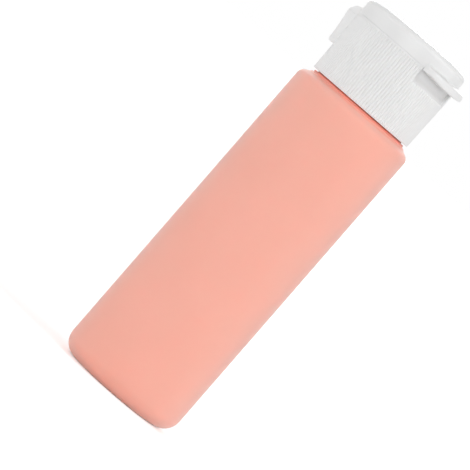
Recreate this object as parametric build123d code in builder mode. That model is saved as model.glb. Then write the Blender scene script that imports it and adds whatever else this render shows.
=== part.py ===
from build123d import *
import math
import os

# Travel bottle with a soft squeezable body and a ribbed flip-top screw cap.
# Millimetres. The bottle stands on z = 0 and its axis is Z.
# The thumb lip of the lid points to -Y and the hinge lies at +Y.

# Soft body
body_radius = 18.5
body_wall = 1.8
base_thickness = 2.4
base_corner_radius = 5.0
foot_ring_width = 3.0
foot_dish_depth = 0.7
shoulder_height = 96.0
shoulder_rise = 2.15
shoulder_corner_radius = 1.0
platform_margin = 0.7
platform_step = 0.45

# Soft neck, which passes up inside the collar and ends in a bead over it
neck_bore_radius = 9.3
neck_wall = 1.5
neck_height = 15.7
bead_thickness = 1.1
bead_inset = 0.3
bead_chamfer = 0.3

# Hard neck collar, which carries the screw thread
collar_clearance = 0.05
collar_wall = 1.75
collar_flange_overhang = 1.0
collar_flange_height = 1.2
collar_chamfer = 0.4

# Sealing gasket under the deck of the cap
seat_gap = 0.1
gasket_thickness = 1.1
gasket_fit = 0.1

# Cap base: skirt, deck and spout
cap_ground_gap = 0.12
cap_bore_clearance = 0.6
cap_lead_in = 0.5
skirt_wall = 1.95
skirt_taper = 0.25
deck_thickness = 1.55
seat_ring_clearance = 0.3
seat_ring_wall = 0.9
seat_ring_height = 1.2
spout_radius = 3.2
spout_tip_radius = 2.6
spout_height = 1.85
orifice_radius = 1.6

# Grip ribs round the skirt
rib_count = 120
rib_depth = 0.28
rib_crest_share = 0.45
rib_band_height = 0.6

# Thumb pocket in the skirt, under the lip of the lid
pocket_half_angle = 31.2
pocket_depth = 1.2
pocket_straight_height = 2.9
pocket_height = 5.4

# Flip lid
lid_gap = 0.1
seam_chamfer = 0.2
lid_height = 6.0
lid_crown = 0.75
lid_edge_radius = 2.0
lid_wall = 1.3
lid_top_thickness = 1.4
lid_inner_chamfer = 0.6
plug_radius = 1.5
plug_tip_radius = 1.2
plug_depth = 1.4

# Thumb lip of the lid
lip_proud = 3.2
lip_half_width = 8.2
lip_corner_radius = 2.0
lip_rise = 1.3
lip_dip = 1.25
lip_edge_radius = 0.6
lip_pocket_gap = 0.15

# Living hinge: a thin film on the fold line, a block below and a leaf above
film_radius = 0.4
film_clearance = 0.05
fold_drop = 1.0
hinge_half_width = 6.5
hinge_block_height = 9.65
hinge_block_foot_proud = 1.75
hinge_block_waist_share = 0.55
hinge_block_waist_inset = 0.75
hinge_side_radius = 0.5
hinge_side_gap = 0.15
leaf_rise = 1.35
leaf_shoulder_inset = 1.2
leaf_shoulder_rise = 0.75

# Cutting tools run past the faces that they cut by this much
overrun = 1.0

# Heights and radii that follow from the sizes above
foot_inner_radius = body_radius - base_corner_radius - foot_ring_width
shoulder_top = shoulder_height + shoulder_rise
platform_height = shoulder_top + platform_step
mouth_height = platform_height + neck_height
bead_underside = mouth_height - bead_thickness
neck_radius = neck_bore_radius + neck_wall
collar_bore_radius = neck_radius + collar_clearance
collar_radius = collar_bore_radius + collar_wall
collar_flange_radius = collar_radius + collar_flange_overhang
collar_foot = platform_height + collar_clearance
collar_flange_top = collar_foot + collar_flange_height
collar_top = bead_underside - collar_clearance
bead_radius = collar_radius - bead_inset
platform_radius = collar_flange_radius + platform_margin

cap_bore_radius = collar_flange_radius + cap_bore_clearance
cap_radius_low = cap_bore_radius + skirt_wall
cap_radius_high = cap_radius_low + skirt_taper
cap_reach = cap_radius_high + lip_proud

gasket_foot = mouth_height + seat_gap
gasket_top = gasket_foot + gasket_thickness
gasket_radius = cap_bore_radius - gasket_fit

cap_foot = platform_height + cap_ground_gap
deck_underside = gasket_top + seat_gap
deck_top = deck_underside + deck_thickness
spout_top = deck_top + spout_height
rib_top = deck_top - rib_band_height

lid_foot = deck_top + lid_gap
lid_top = lid_foot + lid_height
lid_rim_height = lid_top - lid_crown
lid_bore_radius = cap_radius_high - lid_wall
seat_ring_radius = lid_bore_radius - seat_ring_clearance
lid_ceiling = lid_top - lid_top_thickness
lid_ceiling_edge = lid_rim_height - lid_top_thickness
plug_foot = spout_top - plug_depth

fold_y = cap_reach - film_radius
fold_height = deck_top - fold_drop
groove_radius = film_radius + film_clearance
block_foot = fold_height - hinge_block_height
block_top = fold_height - film_clearance
leaf_foot = fold_height + film_clearance
leaf_top = lid_foot + leaf_rise

lip_top = lid_foot + lip_rise
lip_foot = lid_foot - lip_dip
pocket_radius = cap_radius_high - pocket_depth
lip_bore_radius = pocket_radius + lip_pocket_gap
pocket_foot = deck_top - pocket_height
pocket_bend = deck_top - pocket_straight_height

os.makedirs("parts", exist_ok=True)


# Soft body: one hollow moulding with a dished foot, a conical shoulder,
# a flat platform and a neck that ends in a bead
with BuildPart() as squeeze_body:
    with BuildSketch(Plane.XZ):
        with BuildLine():
            TangentArc((0, foot_dish_depth), (foot_inner_radius, 0), tangent=(1, 0))
            FilletPolyline(
                (foot_inner_radius, 0),
                (body_radius, 0),
                (body_radius, shoulder_height),
                (platform_radius, shoulder_top),
                (platform_radius, platform_height),
                (neck_radius, platform_height),
                (neck_radius, bead_underside),
                (bead_radius - bead_chamfer, bead_underside),
                (bead_radius, bead_underside + bead_chamfer),
                (bead_radius, mouth_height - bead_chamfer),
                (bead_radius - bead_chamfer, mouth_height),
                (0, mouth_height),
                radius=[base_corner_radius, shoulder_corner_radius, 0, 0, 0, 0, 0, 0, 0, 0],
            )
            Line((0, mouth_height), (0, foot_dish_depth))
        make_face()
    revolve(axis=Axis.Z)

    # Inside of the body and bore of the neck
    inner_radius = body_radius - body_wall
    inner_shoulder = shoulder_height - body_wall
    inner_platform = platform_height - body_wall
    with BuildSketch(Plane.XZ):
        with BuildLine():
            FilletPolyline(
                (0, base_thickness),
                (inner_radius, base_thickness),
                (inner_radius, inner_shoulder),
                (platform_radius - body_wall, inner_platform),
                (neck_bore_radius, inner_platform),
                (neck_bore_radius, mouth_height + overrun),
                (0, mouth_height + overrun),
                (0, base_thickness),
                radius=[base_corner_radius - body_wall, shoulder_corner_radius, 0, 0, 0, 0, 0],
            )
        make_face()
    revolve(axis=Axis.Z, mode=Mode.SUBTRACT)
squeeze_body.part.label = "squeeze_body"
export_step(squeeze_body.part, "parts/squeeze_body.step")


# Hard collar round the neck, held between the platform and the bead
with BuildPart() as neck_collar:
    with BuildSketch(Plane.XZ):
        with BuildLine():
            Polyline(
                (collar_bore_radius, collar_foot),
                (collar_flange_radius, collar_foot),
                (collar_flange_radius, collar_flange_top - collar_chamfer),
                (collar_flange_radius - collar_chamfer, collar_flange_top),
                (collar_radius, collar_flange_top),
                (collar_radius, collar_top - collar_chamfer),
                (collar_radius - collar_chamfer, collar_top),
                (collar_bore_radius, collar_top),
                close=True,
            )
        make_face()
    revolve(axis=Axis.Z)
neck_collar.part.label = "neck_collar"
export_step(neck_collar.part, "parts/neck_collar.step")


# Flat ring between the mouth of the bottle and the deck of the cap
with BuildPart() as cap_gasket:
    with BuildSketch(Plane.XY.offset(gasket_foot)):
        Circle(gasket_radius)
        Circle(neck_bore_radius, mode=Mode.SUBTRACT)
    extrude(amount=gasket_thickness)
cap_gasket.part.label = "cap_gasket"
export_step(cap_gasket.part, "parts/cap_gasket.step")


def rib_outline(crest_radius, valley_radius):
    """Points of one closed ribbed outline, three to each rib."""
    pitch = 2 * math.pi / rib_count
    half_crest = pitch * rib_crest_share / 2
    points = []
    for rib in range(rib_count):
        middle = rib * pitch
        for radius, angle in (
            (crest_radius, middle - half_crest),
            (crest_radius, middle + half_crest),
            (valley_radius, middle + pitch / 2),
        ):
            points.append((radius * math.cos(angle), radius * math.sin(angle)))
    return points


# Cap base: a slightly tapered ribbed skirt under a flat deck, with a raised
# seat ring and a spout on the deck, a hinge block at the back and a thumb
# pocket at the front
with BuildPart() as cap_base:
    rib_top_share = (rib_top - cap_foot) / (deck_top - cap_foot)
    rib_top_radius = cap_radius_low + (cap_radius_high - cap_radius_low) * rib_top_share
    for height, crest_radius in ((cap_foot, cap_radius_low), (rib_top, rib_top_radius)):
        with BuildSketch(Plane.XY.offset(height)):
            Polygon(*rib_outline(crest_radius, crest_radius - rib_depth), align=None)
    loft(ruled=True)

    # Plain band above the ribs, seat ring and spout
    with BuildSketch(Plane.XZ):
        with BuildLine():
            Polyline(
                (0, rib_top),
                (rib_top_radius, rib_top),
                (cap_radius_high, deck_top - seam_chamfer),
                (cap_radius_high - seam_chamfer, deck_top),
                (seat_ring_radius, deck_top),
                (seat_ring_radius, deck_top + seat_ring_height),
                (seat_ring_radius - seat_ring_wall, deck_top + seat_ring_height),
                (seat_ring_radius - seat_ring_wall, deck_top),
                (spout_radius, deck_top),
                (spout_tip_radius, spout_top),
                (0, spout_top),
                (0, rib_top),
            )
        make_face()
    revolve(axis=Axis.Z)

    # Hinge block, whose face curves out to the fold line
    block_foot_y = cap_radius_low + hinge_block_foot_proud
    waist_height = block_foot + hinge_block_height * hinge_block_waist_share
    with BuildSketch(Plane.YZ):
        with BuildLine():
            Polyline(
                (fold_y, block_top),
                (cap_bore_radius, block_top),
                (cap_bore_radius, block_foot),
                (block_foot_y, block_foot),
            )
            ThreePointArc(
                (block_foot_y, block_foot),
                (fold_y - hinge_block_waist_inset, waist_height),
                (fold_y, block_top - groove_radius),
            )
            Line((fold_y, block_top - groove_radius), (fold_y, block_top))
        make_face()
    extrude(amount=hinge_half_width, both=True)
    block_face = cap_base.faces().sort_by(Axis.Y)[-2]
    fillet(block_face.edges().sort_by(Axis.Z)[:-1], hinge_side_radius)

    # Bore for the neck and the gasket, with a lead-in at its mouth
    with BuildSketch(Plane.XZ):
        with BuildLine():
            Polyline(
                (0, cap_foot - overrun),
                (cap_bore_radius + cap_lead_in, cap_foot - overrun),
                (cap_bore_radius + cap_lead_in, cap_foot),
                (cap_bore_radius, cap_foot + cap_lead_in),
                (cap_bore_radius, deck_underside),
                (0, deck_underside),
                (0, cap_foot - overrun),
            )
        make_face()
    revolve(axis=Axis.Z, mode=Mode.SUBTRACT)

    # Pouring hole
    with BuildSketch(Plane.XY.offset(deck_underside - overrun)):
        Circle(orifice_radius)
    extrude(until=Until.LAST, mode=Mode.SUBTRACT)

    # Groove along the fold line for the hinge film
    with BuildSketch(Plane.YZ):
        with Locations((fold_y, fold_height)):
            Circle(groove_radius)
    extrude(amount=hinge_half_width + overrun, both=True, mode=Mode.SUBTRACT)

    # Thumb pocket: an even depth near the seam, run out in a curve below
    pocket_start = Plane.XZ.rotated((0, 0, -90 - pocket_half_angle))
    with BuildSketch(pocket_start):
        with BuildLine():
            Polyline(
                (cap_radius_high + overrun, pocket_foot),
                (cap_radius_high + overrun, deck_top + overrun),
                (pocket_radius, deck_top + overrun),
                (pocket_radius, pocket_bend),
            )
            TangentArc(
                (pocket_radius, pocket_bend),
                (cap_radius_high + overrun / 2, pocket_foot),
                tangent=(0, -1),
            )
            Line(
                (cap_radius_high + overrun / 2, pocket_foot),
                (cap_radius_high + overrun, pocket_foot),
            )
        make_face()
    revolve(axis=Axis.Z, revolution_arc=2 * pocket_half_angle, mode=Mode.SUBTRACT)
cap_base.part.label = "cap_base"
export_step(cap_base.part, "parts/cap_base.step")


# Plan and front outline of the thumb lip, which dips below the seam in an arc
with BuildPart() as lip_form:
    with BuildSketch(Plane.XY.offset(lip_foot - overrun)) as lip_plan:
        Circle(cap_reach)
        with Locations((0, -cap_reach)):
            Rectangle(2 * lip_half_width, 2 * cap_reach, mode=Mode.INTERSECT)
        fillet(lip_plan.vertices().group_by(Axis.Y)[0], lip_corner_radius)
    extrude(amount=lip_top - lip_foot + overrun)
    with BuildSketch(Plane.XZ):
        with BuildLine():
            Polyline(
                (-lip_half_width, lid_foot),
                (-lip_half_width, lip_top),
                (lip_half_width, lip_top),
                (lip_half_width, lid_foot),
            )
            ThreePointArc(
                (-lip_half_width, lid_foot),
                (0, lip_foot),
                (lip_half_width, lid_foot),
            )
        make_face()
    extrude(amount=cap_reach + overrun, mode=Mode.INTERSECT)
    lip_faces = lip_form.faces().sort_by(Axis.Z)
    lip_rims = lip_faces[0].edges() + lip_faces[-1].edges()
    fillet(lip_rims.sort_by(Axis.Y)[:-2], lip_edge_radius)
    with BuildSketch(Plane.XY.offset(lip_foot - overrun)):
        Circle(lip_bore_radius)
    extrude(amount=lip_top - lip_foot + 2 * overrun, mode=Mode.SUBTRACT)


# Flip lid: a shallow domed shell with a plug for the spout, a leaf that
# reaches back to the fold line and the thumb lip at the front
with BuildPart() as flip_lid:
    crown_edge_radius = cap_radius_high - lid_edge_radius
    corner_height = lid_rim_height - lid_edge_radius
    with BuildSketch(Plane.XZ):
        with BuildLine():
            TangentArc((0, lid_top), (crown_edge_radius, lid_rim_height), tangent=(1, 0))
            CenterArc((crown_edge_radius, corner_height), lid_edge_radius, 0, 90)
            Polyline(
                (cap_radius_high, corner_height),
                (cap_radius_high, lid_foot + seam_chamfer),
                (cap_radius_high - seam_chamfer, lid_foot),
                (0, lid_foot),
                (0, lid_top),
            )
        make_face()
    revolve(axis=Axis.Z)

    # Leaf down to the fold line
    with BuildSketch(Plane.YZ):
        with BuildLine():
            Polyline(
                (0, leaf_foot),
                (fold_y, leaf_foot),
                (fold_y, leaf_foot + film_radius),
                (fold_y - leaf_shoulder_inset, lid_foot + leaf_shoulder_rise),
                (cap_radius_high, leaf_top),
                (0, leaf_top),
                (0, leaf_foot),
            )
        make_face()
    extrude(amount=hinge_half_width - hinge_side_gap, both=True)

    # Room for the rim of the cap base below the seam
    with BuildSketch(Plane.XY.offset(leaf_foot - overrun)):
        Circle(cap_radius_high + lid_gap)
    extrude(amount=lid_foot - leaf_foot + overrun, mode=Mode.SUBTRACT)

    add(lip_form.part)

    # Hollow inside of the lid
    with BuildSketch(Plane.XZ):
        with BuildLine():
            TangentArc(
                (0, lid_ceiling),
                (lid_bore_radius - lid_inner_chamfer, lid_ceiling_edge),
                tangent=(1, 0),
            )
            Polyline(
                (lid_bore_radius - lid_inner_chamfer, lid_ceiling_edge),
                (lid_bore_radius, lid_ceiling_edge - lid_inner_chamfer),
                (lid_bore_radius, leaf_foot - overrun),
                (0, leaf_foot - overrun),
                (0, lid_ceiling),
            )
        make_face()
    revolve(axis=Axis.Z, mode=Mode.SUBTRACT)

    # Plug that closes the spout
    with BuildSketch(Plane.XZ):
        with BuildLine():
            Polyline(
                (0, plug_foot),
                (plug_tip_radius, plug_foot),
                (plug_radius, spout_top),
                (plug_radius, lid_ceiling),
                (0, lid_ceiling),
                (0, plug_foot),
            )
        make_face()
    revolve(axis=Axis.Z)

    # Groove along the fold line for the hinge film
    with BuildSketch(Plane.YZ):
        with Locations((fold_y, fold_height)):
            Circle(groove_radius)
    extrude(amount=hinge_half_width + overrun, both=True, mode=Mode.SUBTRACT)
flip_lid.part.label = "flip_lid"
export_step(flip_lid.part, "parts/flip_lid.step")


# Thin film of the living hinge, as a bead along the fold line
with BuildPart() as hinge_film:
    with BuildSketch(Plane.YZ):
        with Locations((fold_y, fold_height)):
            Circle(film_radius)
    extrude(amount=hinge_half_width - hinge_side_gap, both=True)
hinge_film.part.label = "hinge_film"
export_step(hinge_film.part, "parts/hinge_film.step")
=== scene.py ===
import math

import bmesh
import bpy
import numpy as np
from mathutils import Matrix, Vector


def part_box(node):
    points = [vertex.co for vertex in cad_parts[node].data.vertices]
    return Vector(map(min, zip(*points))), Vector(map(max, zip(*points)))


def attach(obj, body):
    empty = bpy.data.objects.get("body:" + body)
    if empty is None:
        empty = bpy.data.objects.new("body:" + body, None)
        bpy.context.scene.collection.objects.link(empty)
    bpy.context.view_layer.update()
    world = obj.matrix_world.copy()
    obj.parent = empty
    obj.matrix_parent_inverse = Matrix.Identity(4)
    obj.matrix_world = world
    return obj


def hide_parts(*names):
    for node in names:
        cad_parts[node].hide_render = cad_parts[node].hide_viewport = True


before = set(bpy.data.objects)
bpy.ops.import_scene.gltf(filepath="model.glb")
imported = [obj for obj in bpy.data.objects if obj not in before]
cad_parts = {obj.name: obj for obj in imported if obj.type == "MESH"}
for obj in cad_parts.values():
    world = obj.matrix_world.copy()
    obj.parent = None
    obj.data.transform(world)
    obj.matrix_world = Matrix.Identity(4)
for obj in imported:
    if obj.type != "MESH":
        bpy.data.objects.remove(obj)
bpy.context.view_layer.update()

# Metres throughout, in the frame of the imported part: the bottle stands on z = 0,
# the thumb lip points to -Y and the hinge lies at +Y.
MM = 0.001

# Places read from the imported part
body_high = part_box("squeeze_body")[1]
collar_low, collar_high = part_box("neck_collar")
gasket_low, gasket_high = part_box("cap_gasket")
cap_low, cap_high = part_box("cap_base")
lid_low, lid_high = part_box("flip_lid")
film_low, film_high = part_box("hinge_film")

body_radius = body_high.x
mouth_height = body_high.z
flange_radius = collar_high.x
spout_top = cap_high.z
cap_radius = cap_high.x
lid_top = lid_high.z
lip_foot = lid_low.z
lip_reach = -lid_low.y
film_radius = (film_high.z - film_low.z) / 2
film_half_width = film_high.x
fold_y = (film_high.y + film_low.y) / 2
fold_z = (film_high.z + film_low.z) / 2

# Soft body
body_wall = 1.8 * MM
base_thickness = 2.4 * MM
base_corner = 5.0 * MM
foot_ring_inner = 10.5 * MM
foot_dish = 0.7 * MM
shoulder_height = 96.0 * MM
shoulder_corner = 2.0 * MM
step_foot_radius = 16.4 * MM
step_foot = 97.07 * MM
step_radius = 15.9 * MM
step_top = 97.52 * MM
wall_foot_radius = 15.35 * MM
wall_foot = 97.7 * MM
wall_radius = 15.25 * MM
wall_top = 98.25 * MM
wall_edge = 0.1 * MM
inner_shoulder_corner = 1.0 * MM
platform_radius = 14.3 * MM
platform_height = 98.6 * MM
rim_radius = 13.75 * MM
rim_rise = 0.2 * MM
neck_bore = 9.3 * MM
neck_radius = 10.8 * MM
bead_radius = 12.3 * MM
bead_thickness = 1.1 * MM
soft_edge = 0.3 * MM

# Collar, sealing ring and screw thread
collar_radius = 12.6 * MM
collar_bore = 10.85 * MM
collar_edge = 0.35 * MM
flange_height = 1.2 * MM
gasket_edge = 0.18 * MM
cap_bore = 14.2 * MM
thread_pitch = 4.23 * MM
thread_ridge = 1.15 * MM
thread_base = 0.95 * MM
thread_flank = 0.5 * MM
thread_start = 103.4 * MM
# Turns of the thread, and the share of a turn over which each end of it fades
thread_turns = 1.9
thread_fade = 0.09

# Cap base
foot_below_solid = 0.13 * MM
cap_foot = cap_low.z - foot_below_solid
seam_height = 117.15 * MM
cap_radius_low = 16.15 * MM
skirt_middle_radius = (cap_radius + cap_radius_low) / 2
deck_underside = 115.6 * MM
deck_rim = 15.0 * MM
seat_ring_radius = 14.8 * MM
seat_ring_wall = 0.9 * MM
seat_ring_height = 1.2 * MM
spout_radius = 3.2 * MM
spout_tip = 2.6 * MM
orifice = 1.6 * MM
lead_in = 0.5 * MM
cap_edge = 0.12 * MM
seam_edge = 0.05 * MM

# Grip ribs: places across one rib and the height there, both as shares
rib_count = 120
rib_depth = 0.17 * MM
rib_top = 116.55 * MM
rib_places_share = (-0.5, -0.37, -0.25, -0.12, 0.12, 0.25, 0.37)
rib_across_share = (0.0, 0.12, 0.25, 0.37, 0.5)
rib_rise_share = (1.0, 1.0, 0.88, 0.45, 0.0)

# Thumb pocket
pocket_half_angle = 31.2
pocket_radius = 15.2 * MM
pocket_bend = 114.6 * MM
pocket_foot = 112.2 * MM
run_out_reach = 1.7 * MM
pocket_blend = 0.35 * MM
# How far outside the pocket its blended edge ends, in blends
blend_span = 4

# Hinge block and leaf
block_half_width = 6.75 * MM
block_foot = 106.5 * MM
block_foot_y = 17.9 * MM
block_waist_y = 18.45 * MM
block_waist_height = 111.81 * MM
block_top = 116.145 * MM
block_edge = 0.2 * MM
block_foot_edge = 0.6 * MM
groove_radius = 0.41 * MM
leaf_half_width = 6.6 * MM
leaf_inner = 16.5 * MM
leaf_bore = 15.9 * MM
leaf_foot = 116.155 * MM
leaf_edge = 0.16 * MM
leaf_heel = 116.68 * MM
leaf_shoulder_inset = 1.2 * MM
leaf_shoulder_height = 118.12 * MM
leaf_shoulder_corner = 1.5 * MM
leaf_top = 118.55 * MM
leaf_wall_foot = 118.7 * MM
leaf_root = 0.15 * MM

# Lid
lid_foot = 117.165 * MM
lid_foot_middle = 15.7 * MM
lid_bore = 15.1 * MM
lid_crown = 0.75 * MM
lid_corner = 2.0 * MM
lid_wall_foot = 118.85 * MM
lid_ceiling = 121.85 * MM
lid_chamfer = 0.6 * MM
crown_edge = 11.0 * MM
plug_radius = 1.5 * MM
plug_tip = 1.2 * MM
plug_foot = 117.6 * MM
plug_foot_edge = 0.15 * MM
plug_root = 0.2 * MM

# Thumb lip, with the most of its depth that each rounding may take, as a share
lip_half_width = 8.45 * MM
lip_side = 116.45 * MM
lip_top = 118.55 * MM
lip_corner = 2.0 * MM
lip_ease = 0.2 * MM
lip_edge = 0.4 * MM
lip_edge_share = 0.45
lip_brow = 0.9 * MM
lip_brow_share = 0.6
lip_root = 0.3 * MM
lip_root_share = 0.4
lip_slope = 0.3 * MM
lip_bore = 15.35 * MM

# Columns along the lip's front: their span, as a share of its half angle, and their steps
lip_front_span, lip_front_steps = 0.7, 12
# Columns round its corner: where they begin and their span, as such shares, and their steps
lip_corner_from, lip_corner_span, lip_corner_steps = 0.7, 0.18, 8
# Columns up its side, the same, and the steps to the wall, which the last stops short of
lip_side_from, lip_side_span, lip_side_steps, lip_side_whole = 0.88, 0.1, 4, 4.3

# Points round a full circle on the turned pieces, and on the film
ROUND = 224
FILM_ROUND = 32
# Points down one column of the lid, from its bore to its wall
LID_ROWS = 26
# How far in from its corner an arc of two steps has its middle, as a share of its radius
ARC_MIDDLE = 0.3
# Small enough to change no shape
TINY = 1e-9

# Rows round the edge of the cap's foot, up and inset, as shares of the edge
cap_foot_rows = ((0, 1), (0.12, 0.5), (0.4, 0.15), (1, 0))
# Rows round the cap's edge at the seam, down and inset
cap_seam_rows = ((1, 0), (0.45, 0.2), (0.15, 0.55), (0, 1))
# Rows round the lid's edge at the seam, inset and up
lid_seam_rows = ((1, 0), (0.55, 0.12), (0.3, 0.3), (0.12, 0.55), (0, 1))
# Rows where the ribs fade, as millimetres below their top and the share that is left
rib_fade_rows = ((0.3, 1), (0.19, 0.85), (0.1, 0.5), (0.03, 0.15), (0, 0))
# Radii of the rings on the lid's crown, in millimetres
crown_rows = (13.2, 12, 10.5, 9, 7.5, 6, 4.5, 3, 1.5)
# Heights of the rings on the lid's wall, in millimetres
lid_wall_rows = (119.5, 120.0)
# Rows of the plain skirt, and beside the block's face, the pocket's run-out and its floor
plain_rows, face_rows, run_out_rows, pocket_rows = 5, 6, 15, 4
# Where the first two of those begin
plain_from = cap_foot + 8 * cap_edge
face_from = block_foot + 1.8 * block_foot_edge
# Steps round the block's foot and round the groove
block_foot_steps = 4
groove_steps = 4
# Rows of the skirt beside the groove, in millimetres above the row below them
beside_groove_from, beside_groove_apart = 0.05, 0.085
# Gap between an end of the block and the plain skirt's next row
row_gap = 0.02 * MM
# Height of one row of a thread
thread_row = 0.17 * MM
# Longest stretch of the soft body's walls without a row
body_row = 6.0 * MM
# Rows of the dish under the foot
dish_rows = 8

# Columns beside the block, as degrees beyond its side and the share of it there
block_side_columns = ((0, 1), (0.03, 0.66), (0.06, 0.33), (0.09, 0))
# The same beside the pocket
pocket_side_columns = ((-0.07, 1), (-0.03, 0.25), (0.04, 0.06), (0.2, 0))
# The same beside the hinge leaf
leaf_side_columns = ((0.04, 0.66), (0.08, 0.33), (0.12, 0))
# Least distance in degrees from one of those to a plain column of the skirt
column_clearance = 0.12
# Columns over the leaf, and the gap in degrees between the lid's plain columns
leaf_column_count = 33
lid_column_gap = 1.4


def quarter(steps):
    """Angles of a quarter turn in this many steps, both ends among them."""
    return [math.radians(90 * step / steps) for step in range(steps + 1)]


def rounded(corners, steps=5):
    """Outline through corners given as (across, up, fillet), with an arc at each fillet."""
    points = []
    for index, (across, up, fillet) in enumerate(corners):
        here = np.array((across, up))
        if fillet == 0:
            points.append(here)
            continue
        back = np.array(corners[index - 1][:2]) - here
        ahead = np.array(corners[index + 1][:2]) - here
        back = back / np.linalg.norm(back)
        ahead = ahead / np.linalg.norm(ahead)
        half = math.acos(float(back @ ahead)) / 2
        centre = here + (back + ahead) / np.linalg.norm(back + ahead) * fillet / math.sin(half)
        first = here + back * fillet / math.tan(half) - centre
        last = here + ahead * fillet / math.tan(half) - centre
        turn = math.pi - 2 * half
        for step in range(steps + 1):
            share = step / steps
            swing = math.sin((1 - share) * turn) * first + math.sin(share * turn) * last
            points.append(centre + swing / math.sin(turn))
    return points


def ring_at(radius, turns, height):
    """Ring of points about Z at these turns, in radians, and this height."""
    across, along = radius * np.cos(turns), radius * np.sin(turns)
    return np.column_stack((across, along, np.full(len(turns), height)))


def axis_point(height):
    """Ring of a single point, on the axis."""
    return np.array(((0, 0, height),))


def lathe(outline, count=ROUND):
    """Rings through an outline of (radius, height) points. A point on the axis is one vertex."""
    turns = np.arange(count) * 2 * math.pi / count
    return [
        ring_at(radius, turns, height) if radius > 0 else axis_point(height)
        for radius, height in outline
    ]


def bridge(lower, upper, lower_start, upper_start):
    """Faces between two rings. Rings of unlike counts are zipped together by angle."""
    count, other = len(lower), len(upper)
    pairs = [(i, (i + 1) % max(count, other)) for i in range(max(count, other))]
    if count == 1:
        return [(lower_start, upper_start + i, upper_start + j) for i, j in pairs]
    if other == 1:
        return [(lower_start + i, lower_start + j, upper_start) for i, j in pairs]
    if count == other:
        return [
            (lower_start + i, lower_start + j, upper_start + j, upper_start + i)
            for i, j in pairs
        ]
    first = math.atan2(lower[0][1], lower[0][0])
    full = 2 * math.pi
    along = (np.arctan2(lower[:, 1], lower[:, 0]) - first + TINY) % full
    across = (np.arctan2(upper[:, 1], upper[:, 0]) - first + TINY) % full
    order = np.roll(np.arange(other), -int(np.argmin(across)))
    along = np.append(along, full)
    across = np.append(across[order], across[order][0] + full)
    faces, i, j = [], 0, 0
    while i < count or j < other:
        a, b = lower_start + i % count, upper_start + order[j % other]
        if j == other or (i < count and along[i + 1] <= across[j + 1]):
            faces.append((a, lower_start + (i + 1) % count, b))
            i += 1
        else:
            faces.append((a, upper_start + order[(j + 1) % other], b))
            j += 1
    return faces


def skin(name, rings, closed=False, sharp=40):
    """Object whose surface runs through the rings in turn, and back to the first if closed.
    Edges that turn by more than sharp, in degrees, are shaded as edges."""
    starts = np.cumsum([0] + [len(ring) for ring in rings])
    faces = []
    for index in range(len(rings) if closed else len(rings) - 1):
        after = (index + 1) % len(rings)
        faces += bridge(rings[index], rings[after], int(starts[index]), int(starts[after]))
    mesh = bpy.data.meshes.new(name)
    faces = [tuple(int(corner) for corner in face) for face in faces]
    mesh.from_pydata(np.vstack(rings).tolist(), [], faces)
    form = bmesh.new()
    form.from_mesh(mesh)
    bmesh.ops.recalc_face_normals(form, faces=form.faces)
    form.to_mesh(mesh)
    form.free()
    mesh.shade_smooth()
    mesh.set_sharp_from_angle(angle=math.radians(sharp))
    piece = bpy.data.objects.new(name, mesh)
    bpy.context.scene.collection.objects.link(piece)
    return piece


def thread(angles, height, start):
    """Share of the thread's ridge that stands at these angles, in degrees, and this height."""
    share = np.zeros(len(angles))
    for turn in range(-1, int(thread_turns) + 2):
        travel = angles / 360 + turn
        away = np.abs(height - start - thread_pitch * travel)
        ridge = np.clip((thread_base - away) / thread_flank, 0, 1)
        fade = np.clip(np.minimum(travel, thread_turns - travel) / thread_fade, 0, 1)
        share = np.maximum(share, ridge * np.sqrt(fade))
    return share


def threaded(radius, ridge, start, heights):
    """Rings of a wall that carries the thread. The ridge stands in or out by its sign."""
    angles = np.arange(ROUND) * 360 / ROUND
    turns = np.radians(angles)
    return [
        ring_at(radius + ridge * thread(angles, height, start), turns, height)
        for height in heights
    ]


def bottle_body():
    """Soft bottle, one skin outside and in: dished foot, shoulder, platform, neck and bead.
    Under the cap the shoulder has a small step and a low wall, and a rim rings the collar."""
    inner_platform = platform_height - body_wall
    bead_foot = mouth_height - bead_thickness
    shares = np.linspace(0, 1, dish_rows + 1)[:-1]
    dish = [(foot_ring_inner * share, foot_dish * (1 - share * share)) for share in shares]
    outline = rounded(
        [
            (foot_ring_inner, 0, 0),
            (body_radius, 0, base_corner),
            (body_radius, shoulder_height, shoulder_corner),
            (step_foot_radius, step_foot, soft_edge),
            (step_radius, step_top, soft_edge),
            (wall_foot_radius, wall_foot, soft_edge / 2),
            (wall_radius, wall_top, wall_edge),
            (platform_radius, wall_top, wall_edge / 2),
            (platform_radius, platform_height + rim_rise, wall_edge),
            (rim_radius, platform_height + rim_rise, rim_rise / 4),
            (rim_radius, platform_height, rim_rise / 4),
            (neck_radius, platform_height, soft_edge / 2),
            (neck_radius, bead_foot, soft_edge / 2),
            (bead_radius, bead_foot, soft_edge),
            (bead_radius, mouth_height, soft_edge),
            (neck_bore, mouth_height, soft_edge),
            (neck_bore, inner_platform, soft_edge),
            (platform_radius - body_wall, inner_platform, soft_edge),
            (body_radius - body_wall, shoulder_height - body_wall, inner_shoulder_corner),
            (body_radius - body_wall, base_thickness, base_corner - body_wall),
            (0, base_thickness, 0),
        ],
        steps=8,
    )
    # Rows along the wall, so that the skin has an even net
    rows = []
    for here, after in zip(outline, outline[1:]):
        rows.append(here)
        spans = int(np.linalg.norm(np.array(after) - here) / body_row)
        for span in range(1, spans + 1):
            rows.append(here + (np.array(after) - here) * span / (spans + 1))
    rows.append(outline[-1])
    return skin("bottle_body", lathe(dish + rows), sharp=50)


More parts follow.
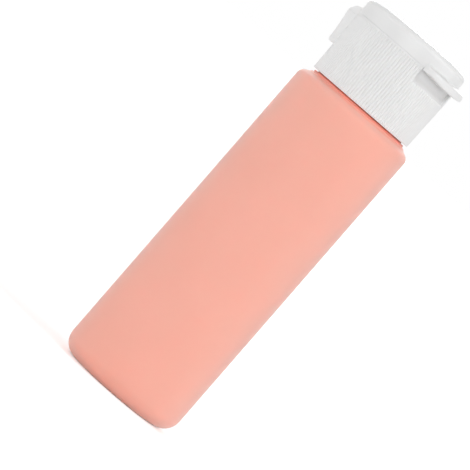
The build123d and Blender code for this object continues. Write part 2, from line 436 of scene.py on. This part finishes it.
def threaded_collar():
    """Hard collar round the neck, with its flange and the raised screw thread."""
    low, high = collar_low.z, collar_high.z
    flange_top = low + flange_height
    flange = rounded(
        [
            (collar_bore, low, 0),
            (flange_radius, low, collar_edge / 2),
            (flange_radius, flange_top, collar_edge),
            (collar_radius, flange_top, collar_edge),
            (collar_radius, high, 0),
        ]
    )[:-1]
    top = rounded(
        [(collar_radius, low, 0), (collar_radius, high, collar_edge), (collar_bore, high, 0)]
    )[1:]
    heights = np.arange(flange_top + 2 * collar_edge, high - 2 * collar_edge, thread_row)
    rings = lathe(flange) + threaded(collar_radius, thread_ridge, thread_start, heights)
    return skin("threaded_collar", rings + lathe(top), closed=True, sharp=60)


def sealing_ring():
    """Flat foam ring under the deck of the cap."""
    low, high, outer = gasket_low.z, gasket_high.z, gasket_high.x
    corners = [
        (neck_bore, (low + high) / 2, 0),
        (neck_bore, low, gasket_edge),
        (outer, low, gasket_edge),
        (outer, high, gasket_edge),
        (neck_bore, high, gasket_edge),
        (neck_bore, (low + high) / 2, 0),
    ]
    return skin("sealing_ring", lathe(rounded(corners, steps=3)[:-1]), closed=True)


def rib_rise(angles):
    """Share of the rib depth that stands at these angles, 1 on a crest and 0 in a valley."""
    pitch = 360 / rib_count
    across = np.abs((angles / pitch + 0.5) % 1 - 0.5)
    return np.interp(across, rib_across_share, rib_rise_share)


def skirt_radius(height):
    """Crest radius of the tapered skirt."""
    share = np.clip((height - cap_foot) / (seam_height - cap_foot), 0, 1)
    return cap_radius_low + (cap_radius - cap_radius_low) * share


def block_face(height):
    """Y of the hinge block's face: an arc from the foot through the waist to the fold."""
    low = np.array((block_foot_y, block_foot))
    mid = np.array((block_waist_y, block_waist_height))
    high = np.array((fold_y, block_top - groove_radius))
    system = np.array((2 * (mid - low), 2 * (high - low)))
    centre = np.linalg.solve(system, np.array((mid @ mid - low @ low, high @ high - low @ low)))
    radius = np.linalg.norm(low - centre)
    side = 1 if centre[0] < low[0] else -1
    return centre[0] + side * math.sqrt(radius**2 - (height - centre[1]) ** 2)


def pocket_floor(height):
    """Radius of the pocket's floor, which runs out in an arc below the bend. Below the
    pocket's foot it lies out of reach of the skirt."""
    if height < pocket_foot:
        return 2 * cap_radius
    drop = max(pocket_bend - height, 0)
    tall = pocket_bend - pocket_foot
    radius = (run_out_reach**2 + tall**2) / (2 * run_out_reach)
    return pocket_radius + radius - math.sqrt(radius**2 - drop**2)


def merge_columns(plain, special):
    """Columns (angle, share, share) by angle, the plain ones kept clear of the special."""
    fixed = np.array([column[0] for column in special])
    kept = []
    for column in plain:
        away = np.abs((column[0] - fixed + 180) % 360 - 180)
        if np.min(away) > column_clearance:
            kept.append(column)
    return np.array(sorted([(c[0] % 360, c[1], c[2]) for c in kept + special]))


def skirt_columns():
    """Angle of each column of the skirt, and its shares of the hinge block and the pocket."""
    block_half = math.degrees(math.asin(block_half_width / skirt_middle_radius))
    special = []
    for side in (-1, 1):
        for more, share in block_side_columns:
            special.append((90 + side * (block_half + more), share, 0))
        for more, share in pocket_side_columns:
            special.append((270 + side * (pocket_half_angle + more), 0, share))
    plain = []
    for rib in range(rib_count):
        for place in rib_places_share:
            angle = (rib + place) * 360 / rib_count % 360
            block = 1 if abs(angle - 90) < block_half else 0
            pocket = 1 if abs(angle - 270) < pocket_half_angle else 0
            plain.append((angle, block, pocket))
    return merge_columns(plain, special)


def skirt_ring(columns, height, inset=0.0, ribs=1.0, block=None):
    """One ring of the skirt. block gives the hinge block's (y, z) there, where it stands."""
    angles, block_share, pocket_share = columns.T
    turns = np.radians(angles)
    radius = skirt_radius(height) - inset - rib_depth * ribs * (1 - rib_rise(angles))
    # Cut down to the pocket's floor, with its edge blended
    depth = radius - pocket_floor(height)
    cut = (depth + np.sqrt(depth**2 + pocket_blend**2)) / 2
    radius = radius - pocket_share * np.where(depth > -blend_span * pocket_blend, cut, 0)
    ring = ring_at(radius, turns, height)
    if block is None:
        return ring
    # Moved out to the block's face, with its side edges rounded
    side = skirt_middle_radius * np.cos(turns)
    near_edge = np.clip(np.abs(side) - (block_half_width - block_edge), 0, block_edge)
    face = block[0] - (block_edge - np.sqrt(block_edge**2 - near_edge**2))
    target = np.column_stack((side, face, np.full(len(angles), block[1])))
    return ring + block_share[:, None] * (target - ring)


def skirt_rings(columns):
    """Outside of the cap from its foot up to the seam."""
    rings = []
    for rise, inset in cap_foot_rows:
        rings.append(skirt_ring(columns, cap_foot + rise * cap_edge, inset * cap_edge))
    for height in np.linspace(plain_from, block_foot - row_gap, plain_rows):
        rings.append(skirt_ring(columns, height))
    # Rounded foot of the hinge block
    for step, turn in enumerate(quarter(block_foot_steps)):
        out = block_foot_y - block_foot_edge * (1 - math.sin(turn))
        up = block_foot + block_foot_edge * (1 - math.cos(turn))
        beside = block_foot + block_foot_edge * step / block_foot_steps
        rings.append(skirt_ring(columns, beside, block=(out, up)))
    # Face of the block, and beside it the run-out of the pocket
    groove_foot = block_top - groove_radius
    heights = list(np.linspace(face_from, pocket_foot, face_rows))
    heights += list(np.linspace(pocket_foot, pocket_bend, run_out_rows)[1:])
    heights += list(np.linspace(pocket_bend, groove_foot, pocket_rows)[1:])
    for height in heights:
        rings.append(skirt_ring(columns, height, block=(block_face(height), height)))
    # Groove for the film, then the top of the block
    last = math.acos((fold_z - block_top) / groove_radius)
    for step in range(groove_steps + 1):
        turn = last * step / groove_steps
        out = fold_y - groove_radius * math.sin(turn)
        up = fold_z - groove_radius * math.cos(turn)
        beside = heights[-1] + (beside_groove_from + beside_groove_apart * step) * MM
        rings.append(skirt_ring(columns, beside, block=(out, up)))
    rings.append(skirt_ring(columns, block_top + row_gap))
    for drop, ribs in rib_fade_rows:
        rings.append(skirt_ring(columns, rib_top - drop * MM, ribs=ribs))
    for drop, inset in cap_seam_rows:
        rings.append(skirt_ring(columns, seam_height - drop * seam_edge, inset * seam_edge, 0))
    return rings


def cap_shell():
    """Cap base: ribbed skirt, hinge block, thumb pocket, deck, seat ring, spout and thread."""
    columns = skirt_columns()
    rings = skirt_rings(columns)
    # Rim inside the pocket's floor, which keeps the deck clear of the pocket's ends
    rings.append(ring_at(deck_rim, np.radians(columns[:, 0]), seam_height))
    # Deck with the seat ring and the spout, then the pouring hole and the bore
    seat_ring_inner = seat_ring_radius - seat_ring_wall
    seat_ring_top = seam_height + seat_ring_height
    deck = rounded(
        [
            (seat_ring_radius, seam_height, 0),
            (seat_ring_radius, seat_ring_top, cap_edge),
            (seat_ring_inner, seat_ring_top, cap_edge),
            (seat_ring_inner, seam_height, cap_edge),
            (spout_radius, seam_height, cap_edge),
            (spout_tip, spout_top, cap_edge),
            (orifice, spout_top, cap_edge),
            (orifice, deck_underside, cap_edge),
            (cap_bore, deck_underside, 2 * cap_edge),
            (cap_bore, cap_foot, 0),
        ]
    )[:-1]
    rings += lathe(deck)
    heights = np.arange(deck_underside - 3 * cap_edge, cap_foot + 2 * lead_in, -thread_row)
    rings += threaded(cap_bore, -thread_ridge, thread_start - thread_pitch / 2, heights)
    rings += lathe([(cap_bore, cap_foot + lead_in), (cap_bore + lead_in, cap_foot)])
    return skin("cap_shell", rings, closed=True, sharp=50)


def hinge_bead():
    """Film of the living hinge, a bead along the fold line with round ends."""
    turns = quarter(6)
    straight = film_half_width - film_radius
    ends = [(-straight - film_radius * math.cos(t), film_radius * math.sin(t)) for t in turns]
    ends += [(straight + film_radius * math.sin(t), film_radius * math.cos(t)) for t in turns]
    outline = [(radius if radius > TINY else 0, along) for along, radius in ends]
    piece = skin("hinge_bead", lathe(outline, FILM_ROUND))
    turn = Matrix.Translation((0, fold_y, fold_z)) @ Matrix.Rotation(math.pi / 2, 4, "Y")
    piece.data.transform(turn)
    return piece


def lip_outline():
    """Half of the lip's plan from the middle to the lid's wall, as (angle share, x, y)."""
    centre_x = lip_half_width - lip_corner
    centre_y = -math.sqrt((lip_reach - lip_corner) ** 2 - centre_x**2)
    tangent = math.asin(centre_x / (lip_reach - lip_corner))
    points = []
    for step in range(lip_front_steps + 1):
        turn = tangent * step / lip_front_steps
        share = lip_front_span * step / lip_front_steps
        points.append((share, lip_reach * math.sin(turn), -lip_reach * math.cos(turn)))
    for step in range(1, lip_corner_steps + 1):
        turn = tangent + (math.pi / 2 - tangent) * step / lip_corner_steps
        share = lip_corner_from + lip_corner_span * step / lip_corner_steps
        x = centre_x + lip_corner * math.sin(turn)
        y = centre_y - lip_corner * math.cos(turn)
        points.append((share, x, y))
    wall_y = -math.sqrt(cap_radius**2 - lip_half_width**2)
    for step in range(1, lip_side_steps + 1):
        share = lip_side_from + lip_side_span * step / lip_side_steps
        y = centre_y + (wall_y - centre_y) * step / lip_side_whole
        points.append((share, lip_half_width, y))
    return points


def lip_underside(x):
    """Height of the arc under the lip at this distance from its middle."""
    dip = lip_side - lip_foot
    radius = (lip_half_width**2 + dip**2) / (2 * dip)
    reach = np.minimum(np.abs(x), lip_half_width)
    return lip_foot + radius - np.sqrt(radius**2 - reach**2)


def lip_profile(angle, out_x, out_y):
    """Points of one column of the lip, from the lid's bore round the lip to its wall."""
    turn = math.radians(angle)
    aim = np.array((math.cos(turn), math.sin(turn)))
    bore, inner, wall = aim * lid_bore, aim * lip_bore, aim * cap_radius
    out = np.array((out_x, out_y))
    under_in = float(lip_underside(inner[0]))
    under_out = float(lip_underside(out_x))
    span = np.linalg.norm(wall - out)
    back = (inner - out) / np.linalg.norm(inner - out)
    top_back = (wall - out) / max(span, TINY)
    ease = min(lip_ease, (lid_foot - under_in) / 2)
    edge = min(lip_edge, lip_edge_share * span)
    brow = min(lip_brow, lip_brow_share * span)
    root = min(lip_root, lip_root_share * span)
    nose = lip_top - lip_slope
    near = out + back * edge
    rows = [
        (bore, lid_foot),
        (inner, lid_foot),
        (inner, (lid_foot + under_in + ease) / 2),
        (inner, under_in + ease),
        (inner - ARC_MIDDLE * ease * back, under_in + ARC_MIDDLE * ease),
        (inner - ease * back, under_in),
        ((inner + near) / 2, (under_in + under_out) / 2),
    ]
    for a in quarter(6):
        rise = edge * (1 - math.cos(a))
        rows.append((out + back * edge * (1 - math.sin(a)), under_out + rise))
    for a in quarter(8):
        drop = brow * (1 - math.sin(a))
        rows.append((out + top_back * brow * (1 - math.cos(a)), nose - drop))
    rows += [
        (wall - top_back * root, lip_top),
        (wall - top_back * ARC_MIDDLE * root, lip_top + ARC_MIDDLE * root),
        (wall, lid_wall_foot),
    ]
    return np.array([(*plan, height) for plan, height in rows])


def upright_points(turn, rows):
    """Points of (radius, height) rows at one turn about Z, in radians."""
    return [(r * math.cos(turn), r * math.sin(turn), height) for r, height in rows]


def plain_profile(angle):
    """The same column where the lid's wall runs straight down to the seam."""
    foot = (lid_bore, lip_bore, lid_foot_middle, cap_radius - 1.5 * seam_edge)
    rows = [(radius, lid_foot) for radius in foot]
    for inset, rise in lid_seam_rows:
        rows.append((cap_radius - inset * seam_edge, lid_foot + rise * seam_edge))
    heights = np.linspace(rows[-1][1], lid_wall_foot, LID_ROWS - len(rows) + 1)[1:]
    rows += [(cap_radius, height) for height in heights]
    return np.array(upright_points(math.radians(angle), rows))


def leaf_profile(angle):
    """The same column over the hinge leaf, which reaches back and down to the fold line."""
    turn = math.radians(angle)
    side = leaf_inner * math.cos(turn)
    inner_y = math.sqrt(leaf_inner**2 - side**2)
    near_edge = min(max(abs(side) - (leaf_half_width - leaf_edge), 0), leaf_edge)
    inset = leaf_edge - math.sqrt(leaf_edge**2 - near_edge**2)
    rows = [(inner_y, height) for height in (lid_foot, (lid_foot + leaf_foot) / 2, leaf_foot)]
    groove_start = math.asin((leaf_foot - fold_z) / groove_radius)
    for step in range(groove_steps + 1):
        a = groove_start + (math.pi / 2 - groove_start) * step / groove_steps
        y = fold_y - groove_radius * math.cos(a)
        rows.append((y, fold_z + groove_radius * math.sin(a)))
    back = rounded(
        [
            (fold_y, fold_z + groove_radius, 0),
            (fold_y, leaf_heel, leaf_edge),
            (fold_y - leaf_shoulder_inset, leaf_shoulder_height, leaf_shoulder_corner),
            (cap_radius + leaf_root, leaf_top, 0),
        ]
    )[1:]
    rows += [(y - inset, height) for y, height in back]
    plan = [(side, y, height) for y, height in rows]
    inside = [(radius, lid_foot) for radius in (lid_bore, lip_bore, leaf_bore)]
    bore = upright_points(turn, inside)
    wall = upright_points(turn, [(cap_radius, leaf_wall_foot), (cap_radius, lid_wall_foot)])
    return np.array(bore + plan + wall)


def lid_columns():
    """Each column of the lid as its angle and its points from the bore to the wall."""
    lip_half = math.degrees(math.asin(lip_half_width / cap_radius))
    leaf_half = math.degrees(math.asin(leaf_half_width / leaf_inner))
    columns = []
    for share, x, y in lip_outline():
        for side in (-1, 1) if x > 0 else (1,):
            angle = 270 + side * lip_half * share
            columns.append((angle, lip_profile(angle, side * x, y)))
    for angle in np.linspace(90 - leaf_half, 90 + leaf_half, leaf_column_count):
        columns.append((angle, leaf_profile(angle)))
    for side in (-1, 1):
        edge = leaf_profile(90 + side * leaf_half)
        for more, share in leaf_side_columns:
            angle = 90 + side * (leaf_half + more)
            plain = plain_profile(angle)
            columns.append((angle, plain + share * (edge - plain)))
    for start, stop in ((90 + leaf_half, 270 - lip_half), (270 + lip_half, 450 - leaf_half)):
        count = int((stop - start) / lid_column_gap)
        for angle in np.linspace(start, stop, count)[1:-1]:
            columns.append((angle % 360, plain_profile(angle)))
        # One more where the stretch meets the lip
        end = stop if stop < 360 else start
        columns.append((end % 360, plain_profile(end)))
    return sorted(columns, key=lambda column: column[0] % 360)


def crown(radius):
    """Height of the lid's shallow crown at this radius."""
    crown_radius = (cap_radius**2 + lid_crown**2) / (2 * lid_crown)
    return lid_top - (crown_radius - math.sqrt(crown_radius**2 - radius**2))


def lid_shell():
    """Flip lid: domed shell, thumb lip, hinge leaf, hollow inside and plug."""
    columns = lid_columns()
    turns = np.radians([angle for angle, points in columns])
    grid = np.array([points for angle, points in columns])
    rings = [grid[:, row] for row in range(LID_ROWS)]
    dome = [(cap_radius, height * MM) for height in lid_wall_rows]
    dome += rounded(
        [
            (cap_radius, lid_wall_foot, 0),
            (cap_radius, crown(cap_radius), lid_corner),
            (crown_edge, crown(crown_edge), 0),
        ],
        steps=10,
    )[1:-1]
    dome += [(radius * MM, crown(radius * MM)) for radius in crown_rows]
    rings += [ring_at(radius, turns, height) for radius, height in dome]
    rings.append(axis_point(lid_top))
    # Inside of the lid, from the plug's tip out to the bore
    inside = rounded(
        [
            (0, plug_foot, 0),
            (plug_tip, plug_foot, plug_foot_edge),
            (plug_radius, spout_top, 0),
            (plug_radius, lid_ceiling, plug_root),
            (lid_bore, lid_ceiling - lid_crown, lid_chamfer),
            (lid_bore, lid_foot + cap_edge, 0),
        ]
    )
    return skin("lid_shell", lathe(inside) + rings, sharp=50)


# Colours, each as the two ends of a faint cloud
coral = ((0.905, 0.413, 0.325), (0.92, 0.429, 0.341))
cap_white = ((0.785, 0.785, 0.785), (0.8, 0.8, 0.798))
collar_white = ((0.74, 0.735, 0.72), (0.76, 0.755, 0.74))
foam_white = ((0.66, 0.65, 0.63), (0.74, 0.73, 0.71))
floor_white = ((0.9, 0.9, 0.9), (0.92, 0.92, 0.92))
WHITE = (1, 1, 1, 1)

# Painted red glow under the cap: between these heights the silicone's colour deepens by this
# factor. It stands in for light scattered and bounced in the shaded gap there.
painted_glow_from = 97.0 * MM
painted_glow_to = 98.0 * MM
painted_glow_by = (1.07, 0.76, 0.69, 1)

# Range that a noise mostly stays in
NOISE_LOW = 0.3
NOISE_HIGH = 0.7

# Sockets of a Mix node for colours, which share their names with its other sockets
MIX_FACTOR, MIX_FIRST, MIX_SECOND, MIX_RESULT = 0, 6, 7, 2


def add(tree, kind, inputs=None, **settings):
    """New shader node of this kind, with its settings, and its sockets set or linked."""
    made = tree.nodes.new(kind)
    for key, value in settings.items():
        setattr(made, key, value)
    for key, value in (inputs or {}).items():
        if isinstance(value, bpy.types.NodeSocket):
            tree.links.new(value, made.inputs[key])
        else:
            made.inputs[key].default_value = value
    return made


def blank(name):
    """New material with an empty node tree and an output."""
    material = bpy.data.materials.new(name)
    material.use_nodes = True
    tree = material.node_tree
    tree.nodes.clear()
    return material, tree, tree.nodes.new("ShaderNodeOutputMaterial")


def object_place(tree):
    """Place of a point in the object's own space."""
    return add(tree, "ShaderNodeTexCoord").outputs["Object"]


def ramp(tree, factor, colours, ends=(NOISE_LOW, NOISE_HIGH)):
    """Colour that goes from the first to the second as the factor goes from end to end."""
    made = add(tree, "ShaderNodeValToRGB", {"Fac": factor})
    for element, place, colour in zip(made.color_ramp.elements, ends, colours):
        element.position = place
        element.color = (*colour, 1)
    return made.outputs["Color"]


def noise(tree, place, scale, detail=2.0, roughness=0.5):
    """Cloudy noise in the object's own space. The scale is in cells per metre."""
    inputs = {"Vector": place, "Scale": scale, "Detail": detail, "Roughness": roughness}
    return add(tree, "ShaderNodeTexNoise", inputs).outputs["Fac"]


def spread(tree, factor, start, stop, low=0.0, high=1.0):
    """Maps a factor that goes from start to stop onto low to high."""
    inputs = {"Value": factor, "From Min": start, "From Max": stop, "To Min": low, "To Max": high}
    return add(tree, "ShaderNodeMapRange", inputs).outputs["Result"]


def bumps(tree, layers):
    """Normal from several (factor, distance) layers, each laid on the one before."""
    normal = None
    for factor, distance in layers:
        inputs = {"Height": factor, "Distance": distance, "Strength": 1.0}
        if normal is not None:
            inputs["Normal"] = normal
        normal = add(tree, "ShaderNodeBump", inputs).outputs["Normal"]
    return normal


def silicone():
    """Coral silicone: matte soft-touch skin, a little translucent, with a fine moulded grain, and
    a painted red glow that deepens its colour under the cap.
    """
    material, tree, output = blank("coral_silicone")
    place = object_place(tree)
    cloud = noise(tree, place, scale=55, detail=3)
    grain = noise(tree, place, scale=2600, roughness=0.6)
    swell = noise(tree, place, scale=120, detail=1)
    tint = ramp(tree, cloud, coral)
    # Painted red glow: under the cap, where the gap lies in shade, the base colour is multiplied
    # redder and deeper by height
    height = add(tree, "ShaderNodeSeparateXYZ", {0: place}).outputs["Z"]
    share = spread(tree, height, painted_glow_from, painted_glow_to)
    sockets = {MIX_FACTOR: share, MIX_FIRST: tint, MIX_SECOND: painted_glow_by}
    colour = add(tree, "ShaderNodeMix", sockets, data_type="RGBA", blend_type="MULTIPLY")
    shader = add(
        tree,
        "ShaderNodeBsdfPrincipled",
        {
            "Base Color": colour.outputs[MIX_RESULT],
            "Roughness": spread(tree, grain, NOISE_LOW, NOISE_HIGH, low=0.5, high=0.62),
            "IOR": 1.41,
            "Specular IOR Level": 0.5,
            "Subsurface Weight": 1.0,
            "Subsurface Radius": (1.0, 0.35, 0.25),
            "Subsurface Scale": 3.5 * MM,
            "Sheen Weight": 0.4,
            "Sheen Roughness": 0.5,
            "Normal": bumps(tree, ((swell, 0.03 * MM), (grain, 0.008 * MM))),
        },
        subsurface_method="BURLEY",
    )
    tree.links.new(shader.outputs["BSDF"], output.inputs["Surface"])
    return material


def plastic(name, tints, rough, grain_scale, through):
    """Moulded satin plastic: faint flow clouds, fine grain, and light that enters a little."""
    material, tree, output = blank(name)
    place = object_place(tree)
    flow = noise(tree, place, scale=140, detail=3)
    grain = noise(tree, place, scale=grain_scale, roughness=0.6)
    swell = noise(tree, place, scale=260, detail=1)
    low, high = rough - 0.05, rough + 0.05
    shader = add(
        tree,
        "ShaderNodeBsdfPrincipled",
        {
            "Base Color": ramp(tree, flow, tints),
            "Roughness": spread(tree, grain, NOISE_LOW, NOISE_HIGH, low, high),
            "IOR": 1.49,
            "Subsurface Weight": through,
            "Subsurface Radius": (1.0, 0.95, 0.9),
            "Subsurface Scale": 0.6 * MM,
            "Normal": bumps(tree, ((swell, 0.01 * MM), (grain, 0.004 * MM))),
        },
    )
    tree.links.new(shader.outputs["BSDF"], output.inputs["Surface"])
    return material


def seen_rays(tree):
    """1 for what is seen straight, in a gloss or through a clear thing, 0 for light cast."""
    path = add(tree, "ShaderNodeLightPath").outputs
    both = add(tree, "ShaderNodeMath", {0: path["Is Camera Ray"], 1: path["Is Glossy Ray"]})
    rays = {0: both.outputs[0], 1: path["Is Transmission Ray"]}
    return add(tree, "ShaderNodeMath", rays, use_clamp=True).outputs[0]


def floor_material(glow):
    """White floor. Where it is seen it adds light of its own, and keeps the shadow."""
    material, tree, output = blank("studio_floor")
    seen = seen_rays(tree)
    cloud = noise(tree, object_place(tree), scale=9)
    tint = ramp(tree, cloud, floor_white, ends=(0, 1))
    diffuse = add(tree, "ShaderNodeBsdfDiffuse", {"Color": tint})
    strength = add(tree, "ShaderNodeMath", {0: seen, 1: glow}, operation="MULTIPLY").outputs[0]
    light = add(tree, "ShaderNodeEmission", {"Strength": strength})
    total = add(tree, "ShaderNodeAddShader", {0: diffuse.outputs[0], 1: light.outputs[0]})
    tree.links.new(total.outputs[0], output.inputs["Surface"])
    return material


# View of the photograph, 470 pixels square, at a long focal length
view_azimuth = math.radians(-52)
view_elevation = math.radians(2)
view_roll = math.radians(41.0)
view_distance = 1.35
# What the frame spans at the bottle
view_field = 123.33 * MM
# Middle of the frame
target_height = 51.67 * MM
target_left = 2.71 * MM
# Sensor in millimetres, and the nearest and farthest that the camera sees
sensor = 36.0
clip_near = 0.01
clip_far = 200.0
# Half the width of the floor
floor_reach = 40.0

view_across = Vector((math.cos(view_azimuth), math.sin(view_azimuth), 0))
view_towards = Vector(
    (
        math.sin(view_azimuth) * math.cos(view_elevation),
        -math.cos(view_azimuth) * math.cos(view_elevation),
        math.sin(view_elevation),
    )
)
view_upright = view_towards.cross(view_across)


def place_camera():
    """Camera at the photograph's angle, rolled so that the bottle leans to the right."""
    data = bpy.data.cameras.new("view")
    data.sensor_width = sensor
    data.lens = sensor * view_distance / view_field
    data.clip_start = clip_near
    data.clip_end = clip_far
    camera = bpy.data.objects.new("view", data)
    bpy.context.scene.collection.objects.link(camera)
    right = math.cos(view_roll) * view_across + math.sin(view_roll) * view_upright
    up = -math.sin(view_roll) * view_across + math.cos(view_roll) * view_upright
    target = Vector((0, 0, target_height)) - target_left * view_across
    turn = Matrix((right, up, view_towards)).transposed().to_4x4()
    camera.matrix_world = Matrix.Translation(target + view_distance * view_towards) @ turn
    bpy.context.scene.camera = camera


def lamp(name, side, front, height, level, softness):
    """Distant soft lamp, aimed from the side, the front and above as the view sees them.
    A level of 1 shows a surface that faces it at its own colour. The softness is in degrees."""
    data = bpy.data.lights.new(name, "SUN")
    data.energy = level * math.pi
    data.angle = math.radians(softness)
    light = bpy.data.objects.new(name, data)
    bpy.context.scene.collection.objects.link(light)
    flat = Vector((view_towards.x, view_towards.y, 0)).normalized()
    source = side * view_across + front * flat + height * Vector((0, 0, 1))
    light.rotation_mode = "QUATERNION"
    light.rotation_quaternion = source.to_track_quat("Z", "Y")


def studio_sky(level):
    """Even white surround: level for light on the object, plain white where it is seen."""
    world = bpy.data.worlds.new("studio")
    bpy.context.scene.world = world
    world.use_nodes = True
    tree = world.node_tree
    tree.nodes.clear()
    output = tree.nodes.new("ShaderNodeOutputWorld")
    seen = seen_rays(tree)
    light = add(tree, "ShaderNodeBackground", {"Color": WHITE, "Strength": level})
    plain = add(tree, "ShaderNodeBackground", {"Color": WHITE, "Strength": 1.0})
    mix = add(tree, "ShaderNodeMixShader", {0: seen, 1: light.outputs[0], 2: plain.outputs[0]})
    tree.links.new(mix.outputs[0], output.inputs["Surface"])


def place_floor(glow):
    """Wide plain floor under the bottle."""
    sides = ((-1, -1), (1, -1), (1, 1), (-1, 1))
    corners = [(x * floor_reach, y * floor_reach, 0) for x, y in sides]
    mesh = bpy.data.meshes.new("floor")
    mesh.from_pydata(corners, [], [(0, 1, 2, 3)])
    mesh.materials.append(floor_material(glow))
    floor = bpy.data.objects.new("floor", mesh)
    bpy.context.scene.collection.objects.link(floor)


def finish_piece(piece, material, body, node):
    """Gives a piece its material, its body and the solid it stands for."""
    piece.data.materials.append(material)
    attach(piece, body)
    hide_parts(node)


bpy.context.scene.view_settings.view_transform = "Standard"
place_camera()
studio_sky(level=0.31)
lamp("key", side=0.87, front=0.5, height=0.75, level=0.225, softness=18)
lamp("front", side=-0.12, front=1.0, height=0.2, level=0.335, softness=40)
lamp("right", side=1.0, front=0.1, height=0.15, level=0.2, softness=40)
lamp("left", side=-1.0, front=0.25, height=0.22, level=0.25, softness=40)
lamp("back", side=-0.1, front=-1.0, height=0.4, level=0.36, softness=40)
lamp("top", side=0.25, front=0.2, height=1.0, level=0.1, softness=40)
place_floor(glow=0.4)

satin = plastic("cap_polypropylene", cap_white, rough=0.4, grain_scale=3200, through=0.3)
hard = plastic("collar_polypropylene", collar_white, rough=0.35, grain_scale=2600, through=0.2)
foam = plastic("gasket_foam", foam_white, rough=0.75, grain_scale=1500, through=0.1)

finish_piece(bottle_body(), silicone(), "bottle", "squeeze_body")
finish_piece(threaded_collar(), hard, "bottle", "neck_collar")
finish_piece(sealing_ring(), foam, "seal", "cap_gasket")
finish_piece(cap_shell(), satin, "cap", "cap_base")
finish_piece(hinge_bead(), satin, "cap", "hinge_film")
finish_piece(lid_shell(), satin, "lid", "flip_lid")
